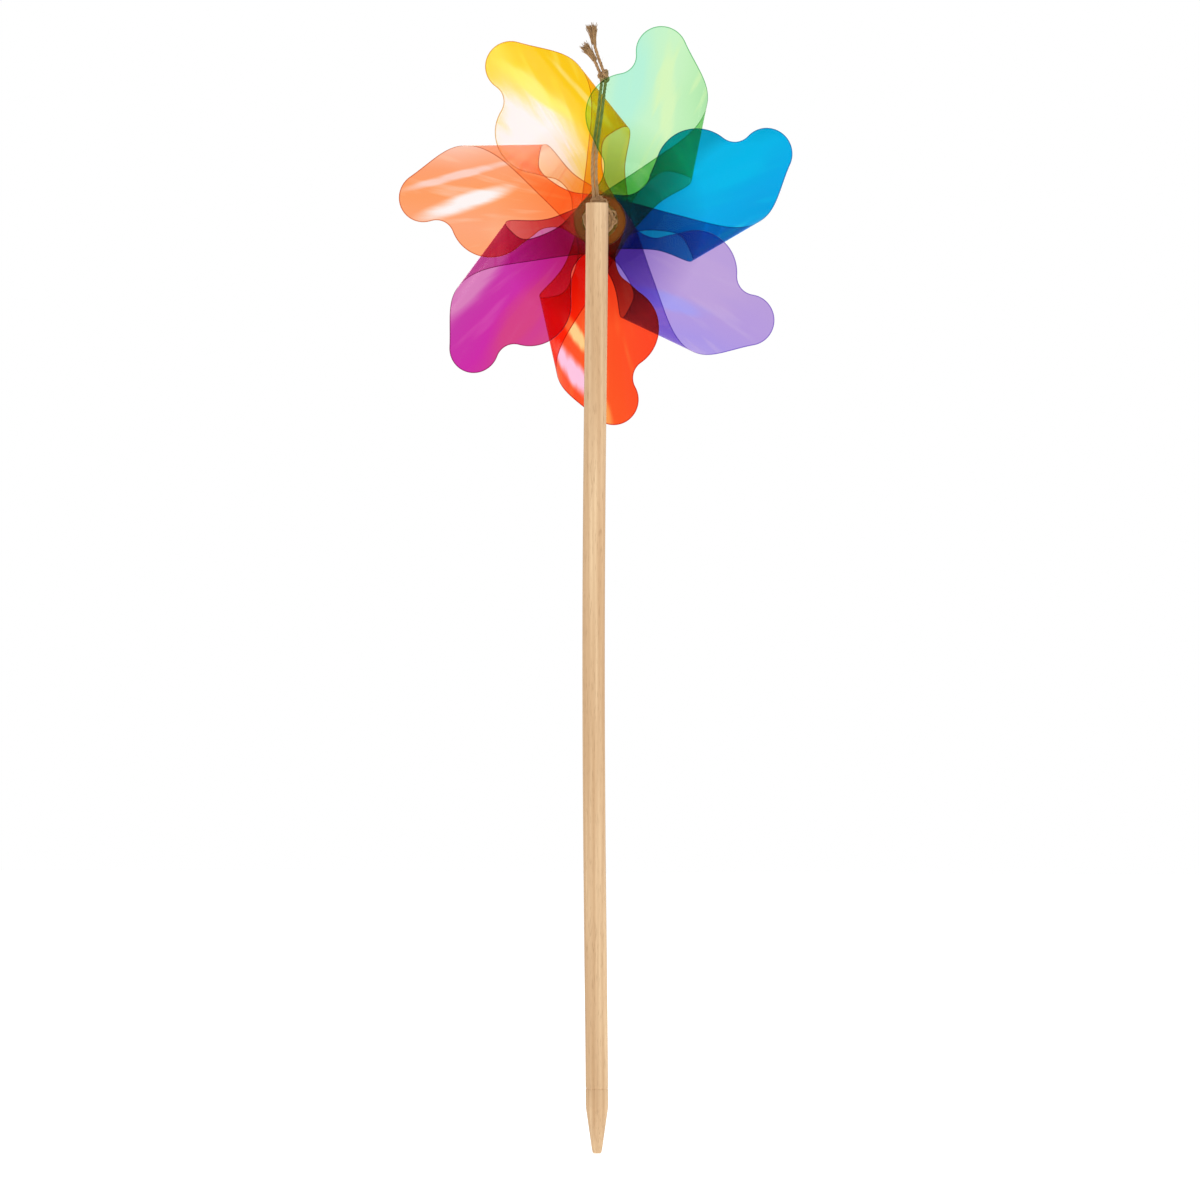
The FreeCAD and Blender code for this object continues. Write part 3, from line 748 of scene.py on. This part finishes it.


# Each film: the sheet from the shoulder (0) over the roll (0.52) to the front tab, its streaks, which are
# painted reflections, and their share, its pale patches, painted glare of the studio lights (centre and half
# size on the flat sheet, turn, colour, share), its tint at the hub and its cut rim, which also colours a
# painted deeper band along the edge.
FILM_LOOKS = {
    "yellow": {
        "sheet": (
            (0.0, "FFE08A"), (0.16, "FFDC50"), (0.26, "FFE24A"), (0.31, "FFCF1A"),
            (0.5, "FBC81E"), (0.62, "FBE28A"),
        ),
        "painted_streak": ("FFEE7A", 0.45),
        "patches": (
            ((-4, 66), (40, 66), -8, "FFF3F0", 1.0),
            ((20, 98), (7, 42), 14, "FFF06A", 0.8),
            ((44, 70), (3, 50), 4, "FFE27A", 0.8),
        ),
        "deep": "F0B05C",
        "rim": "D9A24A",
    },
    "green": {
        "sheet": (
            (0.0, "CBF6CD"), (0.16, "BFF4D4"), (0.3, "CDF6C6"), (0.42, "BDEFB6"),
            (0.55, "A6E0A4"), (0.75, "93CF95"),
        ),
        "painted_streak": ("E0F9B8", 0.6),
        "patches": (
            ((28, 88), (7, 48), 10, "D9F8BE", 0.9),
            ((2, 96), (18, 44), 0, "B8F3DA", 0.9),
        ),
        "deep": "8CCB84",
        "rim": "6DBB86",
    },
    "blue": {
        "sheet": (
            (0.0, "0094B4"), (0.14, "00A4CE"), (0.24, "00B4E8"), (0.35, "00AAE8"),
            (0.5, "00A2E2"), (0.58, "1E96C6"), (1.0, "1A86BE"),
        ),
        "painted_streak": ("0CBEEC", 0.35),
        "patches": (
            ((10, 96), (22, 40), 0, "00B9EC", 0.8),
            ((52, 62), (4, 30), 0, "3CC4E6", 0.7),
        ),
        "deep": "1F7C9C",
        "rim": "2C8FB8",
    },
    "purple": {
        "sheet": (
            (0.0, "BBA0DB"), (0.18, "B99EDC"), (0.3, "B69BDF"), (0.42, "AC98E6"),
            (0.55, "B9A6E8"), (1.0, "A98BD0"),
        ),
        "painted_streak": ("C6B0E4", 0.5),
        "patches": (
            ((30, 62), (8, 40), 8, "A6A0F2", 0.9),
            ((6, 80), (26, 46), 0, "C2A6DC", 0.6),
        ),
        "deep": "7A58B4",
        "rim": "9A80D2",
    },
    "red": {
        "sheet": (
            (0.0, "FF4224"), (0.2, "FF5226"), (0.3, "FF5A28"), (0.42, "FF4E26"),
            (0.52, "FF6A4A"), (1.0, "FFA48E"),
        ),
        "painted_streak": ("FF7A3C", 0.5),
        "patches": (
            ((42, 92), (9, 34), 26, "FFC6E2", 1.0),
            ((34, 68), (6, 22), 20, "FFDE96", 0.9),
            ((27, 122), (7, 26), 6, "FFA052", 0.95),
        ),
        "deep": "C81E1E",
        "rim": "C23A20",
    },
    "magenta": {
        "sheet": (
            (0.0, "D84C86"), (0.14, "D23C96"), (0.24, "CF2DA8"), (0.36, "C93AA8"),
            (0.45, "D468B2"), (0.56, "E2A0CC"), (1.0, "DE8CC0"),
        ),
        "painted_streak": ("DB5CB4", 0.45),
        "patches": (
            ((4, 84), (16, 44), 0, "D9487E", 0.7),
            ((44, 84), (12, 44), -6, "DC84BE", 0.9),
        ),
        "deep": "B81E60",
        "rim": "9C3A80",
    },
    "orange": {
        "sheet": (
            (0.0, "FFA470"), (0.14, "FFA87C"), (0.27, "FFA066"), (0.36, "FFA272"),
            (0.48, "FFC4AC"), (0.6, "FFE6D2"), (1.0, "FFDCB4"),
        ),
        "painted_streak": ("FFC4A4", 0.7),
        "patches": (
            ((13, 92), (8, 44), 17, "FFF6F4", 1.0),
            ((32, 96), (4, 50), 14, "FFD8CE", 0.85),
            ((-6, 58), (14, 26), 0, "FFB488", 0.6),
        ),
        "deep": "FFAE62",
        "rim": "C98A5A",
    },
}


# ---- twine ----

def route_line(name, route):
    """Points along the smooth line that a strand of twine follows."""
    data = bpy.data.curves.new(name, "CURVE")
    data.dimensions = "3D"
    data.resolution_u = 16
    spline = data.splines.new("NURBS")
    spline.points.add(len(route) - 1)
    for point, place in zip(spline.points, route):
        point.co = (*(Vector(place) * MM + AXLE), 1.0)
    spline.order_u = 3
    spline.use_endpoint_u = True
    holder = bpy.data.objects.new(name, data)
    line = bpy.data.meshes.new_from_object(holder)
    points = [v.co.copy() for v in line.vertices]
    bpy.data.objects.remove(holder)
    bpy.data.meshes.remove(line)
    return points


def evenly(points, step):
    """The same line with points one step apart."""
    lengths = np.array([0.0, *np.cumsum([(b - a).length for a, b in zip(points, points[1:])])])
    count = max(2, round(lengths[-1] / step))
    wanted = np.linspace(0, lengths[-1], count + 1)
    line = np.array([tuple(p) for p in points])
    return [Vector(p) for p in np.stack([np.interp(wanted, lengths, line[:, i]) for i in range(3)], 1)]


def frames_along(points):
    """(way, side, up) at each point, turned no more than the line itself turns."""
    ways = [(b - a).normalized() for a, b in zip(points, points[1:])]
    ways = [ways[0]] + [(a + b).normalized() for a, b in zip(ways, ways[1:])] + [ways[-1]]
    side = ways[0].orthogonal().normalized()
    found = []
    for way in ways:
        side = (side - way * side.dot(way)).normalized()
        found.append((way, side, way.cross(side)))
    return found


def add_tube(parts, points, radii, sides=9, shade=0.0):
    """Adds one closed tube to parts, which holds points, faces and (along, round) places."""
    base = len(parts["points"])
    along = 0.0
    for i, (point, (_, side, up)) in enumerate(zip(points, frames_along(points))):
        along += (point - points[max(i - 1, 0)]).length
        for j in range(sides):
            angle = 2 * math.pi * j / sides
            parts["points"].append(point + (side * math.cos(angle) + up * math.sin(angle)) * radii[i])
            parts["places"].append((along / MM / 10 + shade, j / sides))
    for i in range(len(points) - 1):
        for j in range(sides):
            a, b = base + i * sides + j, base + i * sides + (j + 1) % sides
            parts["faces"].append((a, b, b + sides, a + sides))
    last = base + (len(points) - 1) * sides
    parts["faces"].append(tuple(base + j for j in reversed(range(sides))))
    parts["faces"].append(tuple(last + j for j in range(sides)))


def add_twisted(parts, points, radius, chance, plies=3, fray=0.0):
    """Adds plies laid round a line. Over the last stretch, fray metres long, they open and thin out."""
    points = evenly(points, 0.55 * MM)
    frames = frames_along(points)
    step = (points[1] - points[0]).length
    total = step * (len(points) - 1)
    phase = chance.uniform(0, 6.28)
    for ply in range(plies):
        line, radii = [], []
        seed = chance.uniform(0, 50)
        for i, (point, (_, side, up)) in enumerate(zip(points, frames)):
            along = i * step
            opening = smooth_step(1 - (total - along) / fray) if fray else 0.0
            angle = phase + 2 * math.pi * (along / (PLY_PITCH * MM) * (1 - 0.35 * opening) + ply / plies)
            wobble = 0.12 * noise.noise(Vector((along * 260, seed, 0)))
            offset = radius * (0.5 + wobble + 0.9 * opening)
            line.append(point + (side * math.cos(angle) + up * math.sin(angle)) * offset)
            swell = 0.53 + 0.1 * noise.noise(Vector((along * 420, seed, 7)))
            radii.append(radius * swell * (1 - 0.25 * opening))
        add_tube(parts, line, radii, shade=seed)


def add_hairs(parts, points, radius, chance, count, longest):
    """Adds stray fibres that leave the twine at a low angle and curl."""
    points = evenly(points, 1.0 * MM)
    frames = frames_along(points)
    for _ in range(count):
        i = chance.randrange(1, len(points) - 1)
        way, side, up = frames[i]
        angle = chance.uniform(0, 2 * math.pi)
        out = side * math.cos(angle) + up * math.sin(angle)
        run = way * chance.choice((-1, 1))
        curl = out.cross(run) * chance.uniform(-0.8, 0.8)
        length = chance.uniform(0.35, 1.0) * longest
        start = points[i] + out * radius * 0.7
        line = []
        for k in range(7):
            t = k / 6
            bend = out * (0.25 + 0.5 * t) * t + curl * t * t
            line.append(start + (run * t * 0.8 + bend) * length)
        add_tube(parts, line, [0.055 * MM * (1 - 0.5 * k / 6) for k in range(7)], 4, chance.uniform(0, 50))


def add_brush(parts, points, radius, chance, count, length):
    """Adds the frayed end of a strand: fibres that go on past the last point and spread."""
    way = (points[-1] - points[-4]).normalized()
    side = way.orthogonal().normalized()
    up = way.cross(side)
    for _ in range(count):
        angle = chance.uniform(0, 2 * math.pi)
        out = side * math.cos(angle) + up * math.sin(angle)
        start = points[-1] + out * radius * chance.uniform(0.1, 1.5)
        start -= way * length * chance.uniform(0.75, 1.15)
        reach = length * chance.uniform(0.75, 1.0)
        spread = chance.uniform(0.0, 0.3)
        line = [start + (way * t + out * spread * t * t) * reach for t in (0, 0.25, 0.5, 0.75, 1.0)]
        thick = chance.uniform(0.14, 0.3) * MM
        add_tube(parts, line, [thick, thick, thick, thick * 0.9, thick * 0.7], 5, chance.uniform(0, 50))


def new_parts():
    return {"points": [], "faces": [], "places": []}


def twine_piece(name, parts, material):
    piece = place_mesh(name, WHEEL, parts["points"], parts["faces"], [material], parts["places"])
    piece.data.set_sharp_from_angle(angle=math.radians(60))
    return piece


def strand(name, route, seed):
    """One strand of the twine as a cord, with its loose hairs and its frayed end."""
    chance = random.Random(seed)
    line = route_line(name, route)
    parts = new_parts()
    add_twisted(parts, line, TWINE_RADIUS * MM, chance, fray=9 * MM)
    piece = twine_piece(name + "_strand", parts, TWINE_JUTE)
    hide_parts(name)
    hair_parts = new_parts()
    add_hairs(hair_parts, line, TWINE_RADIUS * MM, chance, 70, 4.5 * MM)
    add_brush(hair_parts, line, TWINE_RADIUS * MM, chance, 170, 11 * MM)
    hairs = twine_piece(name + "_hairs", hair_parts, HAIR_JUTE)


def overhand_knot():
    """The two strands tied together: a tight overhand knot with a second turn lying over it."""
    chance = random.Random(11)
    parts = new_parts()
    for turn, (across, deep, tall) in ((0.4, (1.25, 2.3, 1.85)), (2.1, (1.1, 2.6, 1.5))):
        line = []
        for i in range(121):
            t = 2 * math.pi * i / 120
            x = (math.cos(t) - 2 * math.cos(2 * t)) * across
            y = -math.sin(3 * t) * deep * 0.55
            z = (math.sin(t) + 2 * math.sin(2 * t)) * tall * 0.75
            spun = Matrix.Rotation(turn, 3, "Z") @ Vector((x, y, z))
            line.append((KNOT_CENTRE + spun) * MM + AXLE)
        add_twisted(parts, line, 0.95 * MM, chance)
        add_hairs(parts, line, 1.0 * MM, chance, 26, 2.6 * MM)
    piece = twine_piece("overhand_knot", parts, TWINE_JUTE)
    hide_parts("twine_knot")
    return piece


def hub_wrap():
    """Turns of twine wound on the boss in two layers, with slack loops standing off them."""
    chance = random.Random(5)
    parts = new_parts()
    rear = WRAP_LOW.y / MM + TWINE_RADIUS
    front = WRAP_HIGH.y / MM - TWINE_RADIUS
    turns = 5.5
    line = []
    for i in range(360):
        t = i / 359
        angle = 2 * math.pi * turns * t + 1.2
        layer = smooth_step((t - 0.48) / 0.06)
        sweep = t / 0.5 if t < 0.5 else 2 - t / 0.5
        radius = 7.25 + 2.1 * layer + 0.35 * noise.noise(Vector((t * 30, 3, 0)))
        depth = rear + (front - rear) * sweep
        line.append(Vector((radius * math.cos(angle), depth, radius * math.sin(angle))) * MM + AXLE)
    add_twisted(parts, line, TWINE_RADIUS * MM, chance)
    add_hairs(parts, line, TWINE_RADIUS * MM, chance, 130, 3.6 * MM)
    for _ in range(LOOSE_LOOPS):
        middle, tallest = chance.choice(LOOP_PLACES)
        half_turn = chance.uniform(0.25, 0.5)
        height = chance.uniform(0.45, 1.0) * tallest
        depth = chance.uniform(rear, LOOP_DEPTH_LIMIT)
        loop = []
        for i in range(40):
            t = i / 39
            angle = middle + half_turn * (2 * t - 1)
            radius = 8.2 + height * math.sin(math.pi * t)
            loop.append(Vector((radius * math.cos(angle), depth, radius * math.sin(angle))) * MM + AXLE)
        add_twisted(parts, loop, 0.55 * MM, chance, plies=2)
        add_hairs(parts, loop, 0.5 * MM, chance, 8, 3.0 * MM)
    for point in parts["points"]:
        point.y = min(max(point.y, WRAP_LOW.y), WRAP_HIGH.y)
    piece = twine_piece("hub_wrap", parts, TWINE_JUTE)
    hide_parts("twine_wrap")


# ---- stake and hub ----

def turned(name, body, profile, material, segments=96, bow=None):
    """Piece turned about the stake's axis from (height, radius) points in metres, closed at both ends."""
    points, faces = [], []
    for height, radius in profile:
        shift = bow(height) if bow else 0.0
        for j in range(segments):
            angle = 2 * math.pi * j / segments
            points.append((radius * math.cos(angle) + shift, radius * math.sin(angle), height))
    for i in range(len(profile) - 1):
        for j in range(segments):
            a, b = i * segments + j, i * segments + (j + 1) % segments
            faces.append((a, b, b + segments, a + segments))
    last = (len(profile) - 1) * segments
    faces.append(tuple(reversed(range(segments))))
    faces.append(tuple(last + j for j in range(segments)))
    piece = place_mesh(name, body, points, faces, [material])
    piece.data.set_sharp_from_angle(angle=math.radians(28))
    return piece


def stake_bow(height):
    """Sideways bend of the dowel, which is slightly curved between its point and the axle."""
    return -STAKE_BOW * MM * math.sin(math.pi * min(max(height / AXLE_HEIGHT, 0.0), 1.0)) ** 1.3


def beech_stake():
    radius = STICK_HIGH.x
    bottom, top = STICK_LOW.z, STICK_HIGH.z
    score = SCORE_HEIGHT * MM
    tip = POINT_TIP_RADIUS * MM
    profile = [(bottom, 2.2 * MM), (bottom + 0.25 * MM, 2.75 * MM), (bottom + 0.9 * MM, tip)]
    profile += [(bottom * (1 - t), tip + (radius - tip) * t) for t in (0.1, 0.3, 0.5, 0.7, 0.9)]
    profile += [(-0.8 * MM, radius - 0.12 * MM), (0.6 * MM, radius)]
    profile += [(score - 0.7 * MM, radius), (score - 0.45 * MM, radius - 0.12 * MM)]
    profile += [(score, radius - SCORE_DEPTH * MM)]
    profile += [(score + 0.45 * MM, radius - 0.12 * MM), (score + 0.7 * MM, radius)]
    steps = 48
    profile += [(score + 2 * MM + (top - score - 3 * MM) * i / steps, radius) for i in range(steps + 1)]
    profile += [(top - 0.5 * MM, radius), (top - 0.15 * MM, radius - 0.2 * MM), (top, radius - 0.5 * MM)]
    piece = turned("beech_stake", STAKE_BODY, profile, BEECH, bow=stake_bow)
    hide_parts("stick")


def finish_cad_nodes():
    """The hub's bush, washers, cap and nail keep their shapes and get their materials."""
    plastic = ("hub_tube", "rear_washer", "core_sleeve", "front_washer", "front_cap", "spacer_bead")
    for name, node in frame["nodes"].items():
        if node.hide_render:
            continue
        node.data.materials.clear()
        node.data.materials.append(POLYPROPYLENE if name in plastic else STEEL)


set_camera()
TWINE_JUTE = jute("jute_twine", "AE8356")
HAIR_JUTE = jute("jute_hairs", "9C7648")
KNOT = overhand_knot()
strand("twine_left", LEFT_ROUTE, 3)
strand("twine_right", RIGHT_ROUTE, 4)
hub_wrap()
PETAL_FILMS = {name: film_petal(name, look) for name, look in FILM_LOOKS.items()}
CUT_EDGES = {name: cut_edge(name, look["rim"]) for name, look in FILM_LOOKS.items()}
for petal_number in range(len(PETAL_NAMES)):
    rolled_petal(petal_number)
BEECH = beech_dowel()
POLYPROPYLENE = moulded_polypropylene()
STEEL = zinc_plated_steel()
beech_stake()
finish_cad_nodes()
set_studio()
